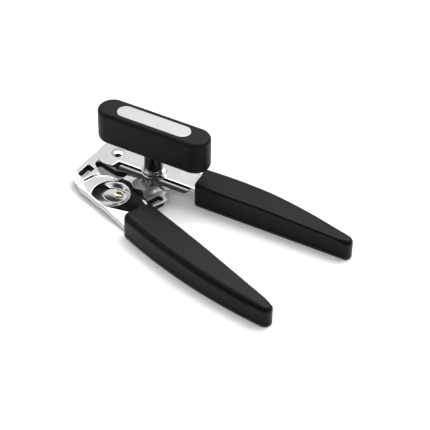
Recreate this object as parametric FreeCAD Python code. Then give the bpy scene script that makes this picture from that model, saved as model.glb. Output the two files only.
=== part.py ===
import FreeCAD, Part
import math
import os

V = FreeCAD.Vector
UP = V(0, 0, 1)
os.makedirs("parts", exist_ok=True)

# ---------------------------------------------------------------- sizes, mm
# Working frame: the pivot is the origin, +X runs along the upper arm, +Z is up and
# the undersides of both handles lie on z = 0.  Everything is shifted at the end so
# that the origin sits under the middle of the assembly.
SHEET = 1.2                 # gauge of both stamped arms
RUN = 0.05                  # running clearance of pins in holes and of stacked washers
GAP = 0.35                  # clearance between bodies that sweep past each other

OPEN_ANGLE = 20.0           # how far the lower arm stands open at rest, degrees

ARM_TOP = 10.2              # top face of the upper arm
ARM_HALF = 12.8             # radius of the flat end of the upper arm
CHANNEL_HALF = 10.9         # half width of the upper arm over its flanges
ARM_BEND = 2.8              # outside radius of the flange bends
ARM_DEPTH = 3.6             # how far the flanges hang below the top face
FLANGE_START = 5.0
FLANGE_END = 56.0
TANG_HALF = 7.0
TANG_LENGTH = 36.0

HANDLE_START = 57.8
HANDLE_LENGTH = 106.4
LOWER_START = 53.6         # the lower handle comes further forward and is longer
LOWER_LENGTH = 114.5
HANDLE_HEIGHT = 16.2
HANDLE_INNER = 10.2         # straight inner side of a handle, from its own centre line
SEAM = 2.2                  # the base plate of a handle ends this far above the table
SEAM_GROOVE = 0.35
PEG_R = 2.4
LOWER_SHIFT = -30.0         # centre line of the lower handle, sideways from the pivot

PIVOT_R = 3.0
SPINDLE_X = 29.3
SPINDLE_Y = -4.8
SPINDLE_R = 3.0
BUSH_R = 4.6
BUSH_FLANGE = 1.1
COLLAR_HEIGHT = 2.6
SPRING_HEIGHT = 0.85
SPRING_GAUGE = 0.5
HUB_R = 4.4
WINDOW_HALF = 5.6           # half width of the window that the spindle swings through
WHEEL_R = 8.0
WHEEL_TEETH = 24
WHEEL_THICK = 1.8

KNOB_LENGTH = 76.5
KNOB_WIDTH = 19.2
KNOB_HEIGHT = 22.6
KNOB_LIFT = 16.2            # underside of the knob above the arm
KNOB_EDGE = 2.8
INLAY_LENGTH = 50.5
INLAY_WIDTH = 11.4
INLAY_THICK = 0.8
NECK_R = 6.2

RECESS = 0.8                # step down from the plate to the ring around the cup
CUP_X = 24.4
CUP_Y = -24.7
CUP_R = 11.3
CUP_FLAT_X = 25.2
CUP_FLAT_Y = -22.4
CUP_FLAT_R = 7.4
CUP_DEPTH = 2.1
CUTTER_X = 25.6
CUTTER_Y = -20.0
CUTTER_R = 8.4
CUTTER_THICK = 1.2
CUTTER_PIN = 2.5
RIM_Y = -36.4               # outer face of the lower arm's rolled rim
RIM_ROUND = 1.8
RIM_DROP = 2.1

# heights that follow from the sizes above
FLANGE_BOTTOM = ARM_TOP - ARM_DEPTH
LOW_TOP = FLANGE_BOTTOM - GAP
RING_TOP = LOW_TOP - RECESS
RING_UNDER = RING_TOP - SHEET
WHEEL_TOP = RING_UNDER - GAP
WHEEL_BOTTOM = WHEEL_TOP - WHEEL_THICK
CUP_FLOOR = RING_TOP - CUP_DEPTH
CUP_UNDER = CUP_FLOOR - SHEET
CUTTER_TOP = CUP_UNDER - 0.3 - 2 * RUN
CUTTER_BOTTOM = CUTTER_TOP - CUTTER_THICK
BUSH_BOTTOM = ARM_TOP - SHEET - 0.6
PIVOT_FOOT = LOW_TOP - SHEET - 2 * RUN - 0.8
SPRING_BOTTOM = ARM_TOP + BUSH_FLANGE + RUN
COLLAR_BOTTOM = SPRING_BOTTOM + SPRING_HEIGHT
KNOB_BOTTOM = ARM_TOP + KNOB_LIFT
KNOB_TOP = KNOB_BOTTOM + KNOB_HEIGHT


# ---------------------------------------------------------------- helpers
def box(x0, x1, y0, y1, z0, z1):
    return Part.makeBox(x1 - x0, y1 - y0, z1 - z0, V(x0, y0, z0))


def rod(x, y, z0, z1, r):
    return Part.makeCylinder(r, z1 - z0, V(x, y, z0))


def ring(x, y, z0, z1, r_out, r_in):
    return rod(x, y, z0, z1, r_out).cut(rod(x, y, z0 - 1, z1 + 1, r_in))


def dome(x, y, z, r, height):
    """A shallow spherical cap standing on z; a negative height hangs it below z."""
    h = abs(height)
    ball_r = (r * r + h * h) / (2 * h)
    way = math.copysign(1, height)
    ball = Part.makeSphere(ball_r, V(x, y, z + way * (h - ball_r)))
    if height > 0:
        return ball.common(rod(x, y, z, z + h + 1, r))
    return ball.common(rod(x, y, z - h - 1, z, r))


def revolve(x, y, profile):
    """Turn a closed (radius, height) outline about a vertical line."""
    points = [V(x + r, y, z) for r, z in profile]
    face = Part.Face(Part.makePolygon(points + [points[0]]))
    return face.revolve(V(x, y, 0), UP, 360)


def rounded(corners):
    """Closed wire through (x, y, corner radius)."""
    ends = []
    edges = []
    count = len(corners)
    for i, (x, y, r) in enumerate(corners):
        here = V(x, y, 0)
        before = V(*corners[i - 1][:2], 0) - here
        after = V(*corners[(i + 1) % count][:2], 0) - here
        before.normalize()
        after.normalize()
        half = before.getAngle(after) / 2
        if r <= 0:
            ends.append((here, None, here))
            continue
        run = r / math.tan(half)
        centre_way = before + after
        centre_way.normalize()
        centre = here + centre_way * (r / math.sin(half))
        middle = centre - centre_way * r
        ends.append((here + before * run, middle, here + after * run))
    for i, (start, middle, stop) in enumerate(ends):
        if middle is not None:
            edges.append(Part.Arc(start, middle, stop).toShape())
        following = ends[(i + 1) % count][0]
        if (following - stop).Length > 1e-6:
            edges.append(Part.makeLine(stop, following))
    return Part.Wire(edges)


def prism(wire, z0, z1):
    solid = Part.Face(wire).extrude(V(0, 0, z1 - z0))
    solid.translate(V(0, 0, z0))
    return solid


def frustum(x0, y0, r0, z0, x1, y1, r1, z1):
    """Solid between two horizontal circles that need not be concentric."""
    low = Part.Wire(Part.Circle(V(x0, y0, z0), UP, r0).toShape())
    high = Part.Wire(Part.Circle(V(x1, y1, z1), UP, r1).toShape())
    return Part.makeLoft([low, high], True, True)


def edges_where(shape, test):
    return [edge for edge in shape.Edges if test(edge)]


# ---------------------------------------------------------------- upper arm
def upper_arm():
    channel = box(FLANGE_START, FLANGE_END, -CHANNEL_HALF, CHANNEL_HALF, FLANGE_BOTTOM, ARM_TOP)
    top_sides = edges_where(
        channel,
        lambda e: e.BoundBox.XLength > 10 and e.BoundBox.ZMin > ARM_TOP - 0.01)
    channel = channel.makeFillet(ARM_BEND, top_sides)
    hollow_half = CHANNEL_HALF - SHEET
    hollow = box(FLANGE_START - 5, FLANGE_END + 5, -hollow_half, hollow_half,
                 FLANGE_BOTTOM - 5, ARM_TOP - SHEET)
    hollow_sides = edges_where(
        hollow,
        lambda e: e.BoundBox.XLength > 10 and e.BoundBox.ZMin > ARM_TOP - SHEET - 0.01)
    channel = channel.cut(hollow.makeFillet(ARM_BEND - SHEET, hollow_sides))
    # both lower corners of the flanges are rounded up, gently at the pivot end
    side = rounded([(FLANGE_START - 4, ARM_TOP + 1, 0), (FLANGE_START - 1, ARM_TOP - 1.5, 0),
                    (FLANGE_START + 8, FLANGE_BOTTOM, 4), (FLANGE_END, FLANGE_BOTTOM, 3.2),
                    (FLANGE_END, ARM_TOP + 1, 0)])
    window = Part.Face(side).extrude(V(0, 0, 60))
    window.translate(V(0, 0, -30))
    window.rotate(V(0, 0, 0), V(1, 0, 0), 90)
    channel = channel.common(window)
    flat_half = CHANNEL_HALF - ARM_BEND
    tang_end = HANDLE_START + TANG_LENGTH
    flat = prism(rounded([
        (-ARM_HALF, ARM_HALF, ARM_HALF - 0.01), (-ARM_HALF, -ARM_HALF, ARM_HALF - 0.01),
        (2, -ARM_HALF, 4), (FLANGE_START + 7, -flat_half, 6), (FLANGE_END + 1, -flat_half, 0.5),
        (FLANGE_END + 2, -TANG_HALF, 0.5), (tang_end, -TANG_HALF, 2), (tang_end, TANG_HALF, 2),
        (FLANGE_END + 2, TANG_HALF, 0.5), (FLANGE_END + 1, flat_half, 0.5),
        (FLANGE_START + 7, flat_half, 6), (2, ARM_HALF, 4)]),
        ARM_TOP - SHEET, ARM_TOP)
    arm = flat.fuse(channel).removeSplitter()
    arm = arm.cut(rod(0, 0, 0, 30, PIVOT_R))
    arm = arm.cut(rod(SPINDLE_X, SPINDLE_Y, 0, 30, BUSH_R))
    for x in peg_places():
        arm = arm.cut(rod(HANDLE_START + x, 0, 0, 30, PEG_R + RUN))
    return arm


# ---------------------------------------------------------------- lower arm
def lower_outline():
    tang_end = LOWER_START + TANG_LENGTH
    far = LOWER_SHIFT - TANG_HALF
    near = LOWER_SHIFT + TANG_HALF
    return rounded([
        (-12.5, 10.5, 9), (43.5, 10.5, 2), (44.6, 0.2, 2), (50.4, -1.2, 1.2), (50.4, -15.5, 3),
        (LOWER_START - 1.2, near, 1),
        (tang_end, near, 2), (tang_end, far, 2), (LOWER_START - 1, far, 0.5),
        (LOWER_START - 2, RIM_Y + RIM_ROUND, 0.5), (-5.0, RIM_Y + RIM_ROUND, 7.5),
        (-14.2, -6.0, 5)])


def recess(z_low, z_high):
    """Tapered block that fills the sunk area round the cup, widest at the top."""
    low = rounded([
        (4.6, -60, 0), (4.6, -20.5, 6), (11.5, -14.8, 3), (23.4, -13.2, 2), (36.0, -13.4, 3),
        (46.5, -15.2, 3), (51.5, -19.0, 3), (140, -19.5, 0), (140, -60, 0)])
    high = rounded([
        (3.4, -60, 0), (3.4, -19.6, 6), (10.9, -13.6, 3), (22.6, -9.6, 2), (36.0, -9.9, 3),
        (46.3, -14.0, 3), (52.6, -17.2, 3), (140, -17.8, 0), (140, -60, 0)])
    low.translate(V(0, 0, z_low))
    high.translate(V(0, 0, z_high))
    return Part.makeLoft([low, high], True, True)


def lower_arm():
    outline = lower_outline()
    arm = prism(outline, RING_UNDER, LOW_TOP)
    below = box(-40, 160, -70, 40, RING_UNDER, LOW_TOP - SHEET)
    arm = arm.cut(below.cut(recess(RING_UNDER, LOW_TOP - SHEET)))
    arm = arm.cut(recess(RING_TOP, LOW_TOP))
    # rolled rim along the outer edge, ending just short of the handle
    rim = box(4.0, LOWER_START - 1.2, RIM_Y, RIM_Y + RIM_ROUND + 1, RING_TOP - RIM_DROP, RING_TOP)
    rim_top = edges_where(rim, lambda e: e.BoundBox.XLength > 10
                          and e.BoundBox.ZMin > RING_TOP - 0.01 and e.BoundBox.YMax < RIM_Y + 0.1)
    rim = rim.makeFillet(RIM_ROUND, rim_top)
    inside = box(0, LOWER_START + 1, RIM_Y + SHEET, RIM_Y + 9, RING_TOP - 9, RING_UNDER)
    inside_top = edges_where(inside, lambda e: e.BoundBox.XLength > 10
                             and e.BoundBox.ZMin > RING_UNDER - 0.01
                             and e.BoundBox.YMax < RIM_Y + SHEET + 0.1)
    rim = rim.cut(inside.makeFillet(RIM_ROUND - SHEET, inside_top))
    arm = arm.fuse(rim)
    # drawn cup: its flat bottom is not concentric with its rim
    shell = frustum(CUP_FLAT_X, CUP_FLAT_Y, CUP_FLAT_R + 0.8, CUP_UNDER,
                    CUP_X, CUP_Y, CUP_R + 0.9, RING_TOP - 0.05)
    bowl = frustum(CUP_FLAT_X, CUP_FLAT_Y, CUP_FLAT_R, CUP_FLOOR,
                   CUP_X, CUP_Y, CUP_R, RING_TOP)
    lid = rod(CUP_X, CUP_Y, RING_TOP - 0.01, RING_TOP + 3, CUP_R)
    arm = arm.fuse(shell).cut(bowl).cut(lid)
    # openings
    centre = prism(rounded([
        (-7.6, -9.5, 2.5), (-4.6, -14.6, 2.5), (6.6, -18.6, 2.5), (10.2, -14.2, 3),
        (18.2, -12.6, 2), (16.2, -2.0, 3), (9.0, -8.2, 4), (-1.0, -9.6, 4)]), 0, 30)
    left_slot = prism(rounded([
        (-7.0, -17.8, 0.7), (-0.8, -17.8, 0.7), (2.0, -28.2, 2.2), (-3.9, -29.4, 2.6)]), 0, 30)
    right_slot = prism(rounded([
        (43.6, -12.4, 0.7), (49.2, -12.4, 0.7), (49.2, -2.6, 2.4), (43.6, -2.6, 0.7)]), 0, 30)
    arm = arm.cut(centre).cut(left_slot).cut(right_slot)
    # curved window that lets the wheel spindle swing past, open at the back
    reach = math.hypot(SPINDLE_X, SPINDLE_Y)
    band = ring(0, 0, 0, 30, reach + WINDOW_HALF, reach - WINDOW_HALF)
    wedge = Part.makeCylinder(90, 30, V(0, 0, 0), UP, 70)
    wedge.rotate(V(0, 0, 0), UP, closed_spindle_angle())
    end_x = reach * math.cos(math.radians(closed_spindle_angle()))
    end_y = reach * math.sin(math.radians(closed_spindle_angle()))
    window = band.common(wedge).fuse(rod(end_x, end_y, 0, 30, WINDOW_HALF))
    arm = arm.cut(window)
    arm = arm.cut(rod(0, 0, 0, 30, PIVOT_R + RUN))
    arm = arm.cut(rod(CUTTER_X, CUTTER_Y, 0, 30, CUTTER_PIN))
    for x in peg_places():
        arm = arm.cut(rod(LOWER_START + x, LOWER_SHIFT, 0, 30, PEG_R + RUN))
    return arm


def closed_spindle_angle():
    """Direction of the spindle, in the lower arm's frame, with the jaws shut."""
    reach = math.hypot(SPINDLE_X, SPINDLE_Y)
    cutter = math.hypot(CUTTER_X, CUTTER_Y)
    apart = CUTTER_R + WHEEL_R - 0.8
    spread = math.acos((reach ** 2 + cutter ** 2 - apart ** 2) / (2 * reach * cutter))
    return math.degrees(math.atan2(CUTTER_Y, CUTTER_X) + spread)


def close_angle():
    rest = math.degrees(math.atan2(SPINDLE_Y, SPINDLE_X)) + OPEN_ANGLE
    return rest - closed_spindle_angle()


# ---------------------------------------------------------------- handles
def peg_places():
    return [10.0, 28.0]


def handle_blank(length):
    """One handle along +X, straight side at -Y, swelling side at +Y."""
    inner = -HANDLE_INNER
    outer_start = V(4.5, 9.7, 0)
    outer_middle = V(0.52 * length, 8.3, 0)
    outer_end = V(0.975 * length, -1.3, 0)
    tip_inner = V(length - 2.2, inner + 0.9, 0)
    corner_inner = V(4.8, inner, 0)
    front_inner = V(2.0, inner + 2.6, 0)
    front_outer = V(0, 5.4, 0)
    wire = Part.Wire([
        Part.Arc(outer_start, outer_middle, outer_end).toShape(),
        Part.Arc(outer_end, V(length, -5.6, 0), tip_inner).toShape(),
        Part.makeLine(tip_inner, corner_inner),
        Part.Arc(corner_inner, V(2.8, inner + 0.75, 0), front_inner).toShape(),
        Part.makeLine(front_inner, front_outer),
        Part.Arc(front_outer, V(1.25, 8.45, 0), outer_start).toShape()])
    blank = prism(wire, 0, HANDLE_HEIGHT)
    # the top falls away towards the tip
    fall = Part.Face(Part.makePolygon([
        V(length * 0.4, 0, HANDLE_HEIGHT), V(length + 9, 0, HANDLE_HEIGHT - 3.2),
        V(length + 9, 0, HANDLE_HEIGHT + 5), V(length * 0.4, 0, HANDLE_HEIGHT + 5),
        V(length * 0.4, 0, HANDLE_HEIGHT)])).extrude(V(0, 60, 0))
    fall.translate(V(0, -30, 0))
    blank = blank.cut(fall)
    swelling = edges_where(blank, lambda e: e.BoundBox.ZMin > 9 and e.BoundBox.XLength > 20
                           and e.BoundBox.YMin > -5)
    blank = blank.makeFillet(4.2, swelling)
    others = edges_where(blank, lambda e: e.BoundBox.ZMin > 13
                         and (e.BoundBox.YMax < inner + 2.7
                              or e.BoundBox.XMax < 2.1))
    return blank.makeFillet(1.2, others)


def handle_parts(tang_z, length):
    """Shell and base plate of a handle whose tang's top face is at tang_z."""
    blank = handle_blank(length)
    tall = 60
    base = blank.common(box(-5, 200, -40, 40, -1, SEAM))
    shell = blank.common(box(-5, 200, -40, 40, SEAM + SEAM_GROOVE, tall))
    inner = blank.common(box(6.0, length - 30, -HANDLE_INNER + 1.2, 4.0,
                             SEAM - 0.5, SEAM + SEAM_GROOVE))
    base = base.fuse(inner)
    slot = box(-1, TANG_LENGTH + 0.4, -TANG_HALF - 0.15, TANG_HALF + 0.15,
               tang_z - SHEET - 0.1, tang_z + 0.1)
    shell = shell.cut(slot)
    for x in peg_places():
        base = base.fuse(rod(x, 0, SEAM - 0.5, tang_z + 1.5, PEG_R))
        shell = shell.cut(rod(x, 0, 0, tang_z + 1.6, PEG_R + RUN))
    return shell, base.removeSplitter()


# ---------------------------------------------------------------- crank
def knob_outline(length, width, cx, cy):
    half = length / 2
    wide = width / 2
    r = wide - 0.01
    return rounded([
        (cx - half, cy - wide, r), (cx + half, cy - wide, r),
        (cx + half, cy + wide, r), (cx - half, cy + wide, r)])


def turn_knob():
    body = prism(knob_outline(KNOB_LENGTH, KNOB_WIDTH, SPINDLE_X, SPINDLE_Y),
                 KNOB_BOTTOM, KNOB_TOP)
    rims = edges_where(body, lambda e: e.BoundBox.ZLength < 0.01)
    body = body.makeFillet(KNOB_EDGE, rims)
    pocket = prism(knob_outline(INLAY_LENGTH, INLAY_WIDTH, SPINDLE_X, SPINDLE_Y),
                   KNOB_TOP - INLAY_THICK, KNOB_TOP + 1)
    body = body.cut(pocket)
    return body.cut(core_blank())


def core_blank():
    """Hard core inside the soft knob, with the neck below it."""
    bar = prism(knob_outline(KNOB_LENGTH - 14, KNOB_WIDTH - 8, SPINDLE_X, SPINDLE_Y),
                KNOB_BOTTOM + 4, KNOB_TOP - 4)
    neck = revolve(SPINDLE_X, SPINDLE_Y, [
        (0, COLLAR_BOTTOM + COLLAR_HEIGHT), (NECK_R, COLLAR_BOTTOM + COLLAR_HEIGHT),
        (NECK_R, KNOB_BOTTOM - 2.0), (NECK_R + 0.8, KNOB_BOTTOM), (NECK_R + 0.8, KNOB_BOTTOM + 5),
        (0, KNOB_BOTTOM + 5)])
    return bar.fuse(neck)


def knob_core():
    return core_blank().cut(knob_spindle())


def knob_spindle():
    top = KNOB_BOTTOM + 14
    foot = WHEEL_BOTTOM - 0.6
    shaft = rod(SPINDLE_X, SPINDLE_Y, WHEEL_BOTTOM, top, SPINDLE_R)
    head = revolve(SPINDLE_X, SPINDLE_Y, [
        (0, foot), (3.6, foot), (4.2, foot + 0.3), (4.2, WHEEL_BOTTOM), (0, WHEEL_BOTTOM)])
    flange = rod(SPINDLE_X, SPINDLE_Y, top - 5, top - 3, SPINDLE_R + 1.6)
    return shaft.fuse([head, flange]).removeSplitter()


def knob_collar():
    z = COLLAR_BOTTOM
    return revolve(SPINDLE_X, SPINDLE_Y, [
        (SPINDLE_R, z), (6.9, z), (7.3, z + 0.4), (7.3, z + 1.1), (6.9, z + 1.4),
        (6.5, z + 1.4), (6.5, z + COLLAR_HEIGHT - 0.2), (6.3, z + COLLAR_HEIGHT),
        (SPINDLE_R, z + COLLAR_HEIGHT)])


def spring_washer():
    z = SPRING_BOTTOM
    return revolve(SPINDLE_X, SPINDLE_Y, [
        (SPINDLE_R + RUN, z + SPRING_HEIGHT - SPRING_GAUGE), (6.2, z), (6.2, z + SPRING_GAUGE),
        (SPINDLE_R + RUN, z + SPRING_HEIGHT)])


def spindle_bush():
    z = ARM_TOP
    return revolve(SPINDLE_X, SPINDLE_Y, [
        (SPINDLE_R + RUN, BUSH_BOTTOM), (BUSH_R, BUSH_BOTTOM), (BUSH_R, z), (7.6, z),
        (7.9, z + 0.3), (7.9, z + 0.8), (7.6, z + BUSH_FLANGE), (SPINDLE_R + RUN, z + BUSH_FLANGE)])


def wheel_spacer():
    return ring(SPINDLE_X, SPINDLE_Y, WHEEL_TOP, BUSH_BOTTOM - RUN, HUB_R, SPINDLE_R)


def feed_wheel():
    root = WHEEL_R - 1.1
    points = []
    for i in range(WHEEL_TEETH):
        for share, r in ((0.0, root), (0.36, WHEEL_R), (0.56, WHEEL_R), (0.92, root)):
            a = 2 * math.pi * (i + share) / WHEEL_TEETH
            points.append(V(SPINDLE_X + r * math.cos(a), SPINDLE_Y + r * math.sin(a), 0))
    wheel = prism(Part.makePolygon(points + [points[0]]), WHEEL_BOTTOM, WHEEL_TOP)
    return wheel.cut(rod(SPINDLE_X, SPINDLE_Y, 0, 30, SPINDLE_R))


# ---------------------------------------------------------------- pivot and cutter
def pivot_rivet():
    shank = rod(0, 0, PIVOT_FOOT, ARM_TOP, PIVOT_R)
    return shank.fuse([dome(0, 0, ARM_TOP, 4.1, 1.6), dome(0, 0, PIVOT_FOOT, 4.4, -1.3)])


def pivot_spacer():
    return ring(0, 0, LOW_TOP + RUN, ARM_TOP - SHEET, 6.5, PIVOT_R)


def pivot_washer():
    return ring(0, 0, PIVOT_FOOT, PIVOT_FOOT + 0.8, 6.0, PIVOT_R)


def cutter_rivet():
    x, y = CUTTER_X, CUTTER_Y
    foot = CUTTER_BOTTOM - 0.1
    shank = rod(x, y, foot, CUP_FLOOR, CUTTER_PIN)
    return shank.fuse([dome(x, y, CUP_FLOOR, 3.5, 1.5), dome(x, y, foot, 3.9, -0.4)])


def cutter_washer():
    return ring(CUTTER_X, CUTTER_Y, CUTTER_TOP + RUN, CUP_UNDER, 5.2, CUTTER_PIN)


def cutter_wheel():
    bevel = 1.5
    middle = (CUTTER_TOP + CUTTER_BOTTOM) / 2 + 0.2
    return revolve(CUTTER_X, CUTTER_Y, [
        (CUTTER_PIN + RUN, CUTTER_BOTTOM), (CUTTER_R - bevel, CUTTER_BOTTOM),
        (CUTTER_R, middle - 0.06), (CUTTER_R, middle + 0.06), (CUTTER_R - bevel, CUTTER_TOP),
        (CUTTER_PIN + RUN, CUTTER_TOP)])


# ---------------------------------------------------------------- assembly
def place_handle(shape, lower):
    if lower:
        shape = shape.mirror(V(0, 0, 0), V(0, 1, 0))
        shape.translate(V(LOWER_START, LOWER_SHIFT, 0))
        return shape
    shape.translate(V(HANDLE_START, 0, 0))
    return shape


def build():
    up_shell, up_base = handle_parts(ARM_TOP, HANDLE_LENGTH)
    low_shell, low_base = handle_parts(RING_TOP, LOWER_LENGTH)
    nodes = {
        "upper_arm": upper_arm(),
        "upper_handle_shell": place_handle(up_shell, False),
        "upper_handle_base": place_handle(up_base, False),
        "spindle_bush": spindle_bush(),
        "pivot_rivet": pivot_rivet(),
        "pivot_spacer": pivot_spacer(),
        "pivot_washer": pivot_washer(),
        "turn_knob": turn_knob(),
        "knob_core": knob_core(),
        "knob_inlay_plate": prism(
            knob_outline(INLAY_LENGTH, INLAY_WIDTH, SPINDLE_X, SPINDLE_Y),
            KNOB_TOP - INLAY_THICK, KNOB_TOP - 0.1),
        "knob_spindle": knob_spindle(),
        "knob_collar": knob_collar(),
        "spring_washer": spring_washer(),
        "wheel_spacer": wheel_spacer(),
        "feed_wheel": feed_wheel(),
    }
    low = {
        "lower_arm": lower_arm(),
        "lower_handle_shell": place_handle(low_shell, True),
        "lower_handle_base": place_handle(low_base, True),
        "cutter_rivet": cutter_rivet(),
        "cutter_washer": cutter_washer(),
        "cutter_wheel": cutter_wheel(),
    }
    for name, shape in low.items():
        shape.rotate(V(0, 0, 0), UP, -OPEN_ANGLE)
        nodes[name] = shape
    return nodes


def main():
    nodes = build()
    bounds = Part.makeCompound(list(nodes.values())).optimalBoundingBox(False)
    shift = V(-bounds.Center.x, -bounds.Center.y, -bounds.ZMin)
    for name, shape in nodes.items():
        shape.translate(shift)
        shape.exportStep("parts/" + name + ".step")
    cutter = V(CUTTER_X, CUTTER_Y, CUTTER_BOTTOM)
    turned = FreeCAD.Rotation(UP, -OPEN_ANGLE).multVec(cutter)
    print("pivot", tuple(V(0, 0, LOW_TOP) + shift))
    print("spindle", tuple(V(SPINDLE_X, SPINDLE_Y, ARM_TOP) + shift))
    print("cutter", tuple(turned + shift))
    print("closing turn, degrees", close_angle())
    print("size", bounds.XLength, bounds.YLength, bounds.ZLength)


main()
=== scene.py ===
import math

import bpy
import numpy as np
from mathutils import Matrix, Vector
from mathutils.geometry import delaunay_2d_cdt


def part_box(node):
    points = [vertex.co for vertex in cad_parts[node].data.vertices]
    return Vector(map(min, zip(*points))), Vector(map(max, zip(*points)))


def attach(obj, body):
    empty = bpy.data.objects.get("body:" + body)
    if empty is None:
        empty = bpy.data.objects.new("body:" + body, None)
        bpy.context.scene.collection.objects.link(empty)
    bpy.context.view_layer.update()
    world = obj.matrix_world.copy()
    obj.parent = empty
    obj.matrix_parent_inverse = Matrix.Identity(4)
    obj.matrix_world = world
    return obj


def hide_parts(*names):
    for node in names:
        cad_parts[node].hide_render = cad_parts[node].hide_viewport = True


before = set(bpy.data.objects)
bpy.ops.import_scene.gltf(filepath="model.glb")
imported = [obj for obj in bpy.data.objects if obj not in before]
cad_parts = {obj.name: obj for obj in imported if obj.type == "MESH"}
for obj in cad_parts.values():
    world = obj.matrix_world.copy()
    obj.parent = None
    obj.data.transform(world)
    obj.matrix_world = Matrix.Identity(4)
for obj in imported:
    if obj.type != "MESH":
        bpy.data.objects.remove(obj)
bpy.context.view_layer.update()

# ------------------------------------------------------------------ sizes, mm
# Working frame: pivot at the origin, +X along the upper arm.  The lower arm is drawn
# in its own frame and turned by OPEN about the pivot.  SHIFT takes it to the row frame.
LOW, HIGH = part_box("pivot_spacer")
SHIFT = np.array(((LOW.x + HIGH.x) * 500, (LOW.y + HIGH.y) * 500, 0.0))
OPEN = math.radians(20.0)
SHEET = 1.2
ARM_TOP = 10.2
LOW_TOP = 6.25
RECESS = 0.8
RING_TOP = LOW_TOP - RECESS
SPINDLE = (29.3, -4.8)
CUTTER = (25.6, -20.0)
KNOB_LOW = 26.4
KNOB_HIGH = 49.0
COLLAR_LOW = 12.2
COLLAR_HIGH = 14.8
KNOB_LENGTH = 76.5
KNOB_WIDTH = 19.2
KNOB_EDGE = 2.8
INLAY_LENGTH = 50.5
INLAY_WIDTH = 11.4
INLAY_DEPTH = 0.8
PIVOT_R = 3.0
SPINDLE_R = 3.0
BUSH_R = 4.6
CUTTER_PIN = 2.5
RUN = 0.05                  # running clearance of pins in holes
PIVOT_FOOT = 4.15
CUP_FLOOR = 3.35
CUTTER_FOOT = 0.45
WHEEL_TOP = 3.9
WHEEL_THICK = 1.8
WHEEL_TEETH = 24
WINDOW_REACH = 29.69        # middle line of the window, from the pivot
WINDOW_HALF = 5.6
WINDOW_END = -9.4           # direction of the window's closed end, degrees
BACK_EDGE = 10.5            # back edge of the lower arm
HANDLE_TOP = 16.2
HANDLE_INNER = -10.2
SEAM = 2.2                  # top of a handle's base plate
SEAM_GROOVE = 0.35


# ------------------------------------------------------------------ outlines
def unit(v):
    return v / np.maximum(np.linalg.norm(v, axis=-1, keepdims=True), 1e-12)


def fill_in(points, gap, closed=True):
    """Split long straight runs so that no step is longer than gap."""
    out = []
    count = len(points)
    for i in range(count if closed else count - 1):
        p = np.array(points[i], float)
        q = np.array(points[(i + 1) % count], float)
        length = np.linalg.norm(q - p)
        if length < 1e-6:
            continue
        parts = max(1, math.ceil(length / gap))
        out += [p + (q - p) * j / parts for j in range(parts)]
    if not closed:
        out.append(np.array(points[-1], float))
    return np.array(out)


def corner(before, here, after, r, turn=0.2):
    """Points of the arc of radius r that rounds one corner."""
    here = np.array(here, float)
    a = unit(np.array(before, float) - here)
    b = unit(np.array(after, float) - here)
    half = math.acos(max(-1.0, min(1.0, float(a @ b)))) / 2
    if r <= 0 or half > 1.567:
        return [here]
    centre = here + unit(a + b) * (r / math.sin(half))
    start = here + a * (r / math.tan(half)) - centre
    stop = here + b * (r / math.tan(half)) - centre
    t0 = math.atan2(start[1], start[0])
    sweep = (math.atan2(stop[1], stop[0]) - t0 + math.pi) % (2 * math.pi) - math.pi
    steps = max(2, math.ceil(abs(sweep) / turn))
    return [centre + r * np.array((math.cos(t0 + sweep * j / steps), math.sin(t0 + sweep * j / steps)))
            for j in range(steps + 1)]


def rounded(corners, gap=1.0, turn=0.2):
    points = []
    count = len(corners)
    for i, (x, y, r) in enumerate(corners):
        points += corner(corners[i - 1][:2], (x, y), corners[(i + 1) % count][:2], r, turn)
    return fill_in(points, gap)


def arc(cx, cy, r, a0, a1, turn=0.1):
    steps = max(2, math.ceil(abs(a1 - a0) / turn))
    return [np.array((cx + r * math.cos(a0 + (a1 - a0) * j / steps),
                      cy + r * math.sin(a0 + (a1 - a0) * j / steps))) for j in range(steps + 1)]


def circle(cx, cy, r, count=40):
    t = np.arange(count) * 2 * math.pi / count
    return np.stack((cx + r * np.cos(t), cy + r * np.sin(t)), 1)


def stadium(cx, cy, length, width, turn=0.09, gap=1.5):
    h = length / 2 - width / 2
    points = arc(cx + h, cy, width / 2, -math.pi / 2, math.pi / 2, turn)
    points += arc(cx - h, cy, width / 2, math.pi / 2, 1.5 * math.pi, turn)
    return fill_in(points, gap)


def area(loop):
    x, y = loop[:, 0], loop[:, 1]
    return 0.5 * float(np.sum(x * np.roll(y, -1) - y * np.roll(x, -1)))


def inward(loop):
    """Unit normals that point to the left of the loop, into the material."""
    ahead = np.roll(loop, -1, 0) - loop
    along = ahead + np.roll(ahead, 1, 0)
    along = unit(along)
    return np.stack((-along[:, 1], along[:, 0]), 1)


def inside(points, loop):
    x, y = points[:, 0][:, None], points[:, 1][:, None]
    x0, y0 = loop[:, 0][None], loop[:, 1][None]
    x1, y1 = np.roll(loop[:, 0], -1)[None], np.roll(loop[:, 1], -1)[None]
    slope = (x1 - x0) / np.where(np.abs(y1 - y0) < 1e-12, 1e-12, y1 - y0)
    hits = ((y0 > y) != (y1 > y)) & (x < slope * (y - y0) + x0)
    return hits.sum(1) % 2 == 1


def distance(points, loop):
    """Distance from each point to a closed polyline."""
    p0 = loop[None]
    edge = (np.roll(loop, -1, 0) - loop)[None]
    away = points[:, None] - p0
    share = (away * edge).sum(2) / np.maximum((edge ** 2).sum(2), 1e-12)
    away -= np.clip(share, 0, 1)[..., None] * edge
    return np.sqrt((away ** 2).sum(2)).min(1)


# ------------------------------------------------------------------ meshes
def to_row(points, lower):
    p = np.array(points, float)
    if lower:
        c, s = math.cos(OPEN), math.sin(OPEN)
        p = np.stack((p[:, 0] * c + p[:, 1] * s, -p[:, 0] * s + p[:, 1] * c, p[:, 2]), 1)
    return (p + SHIFT) * 0.001


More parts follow.
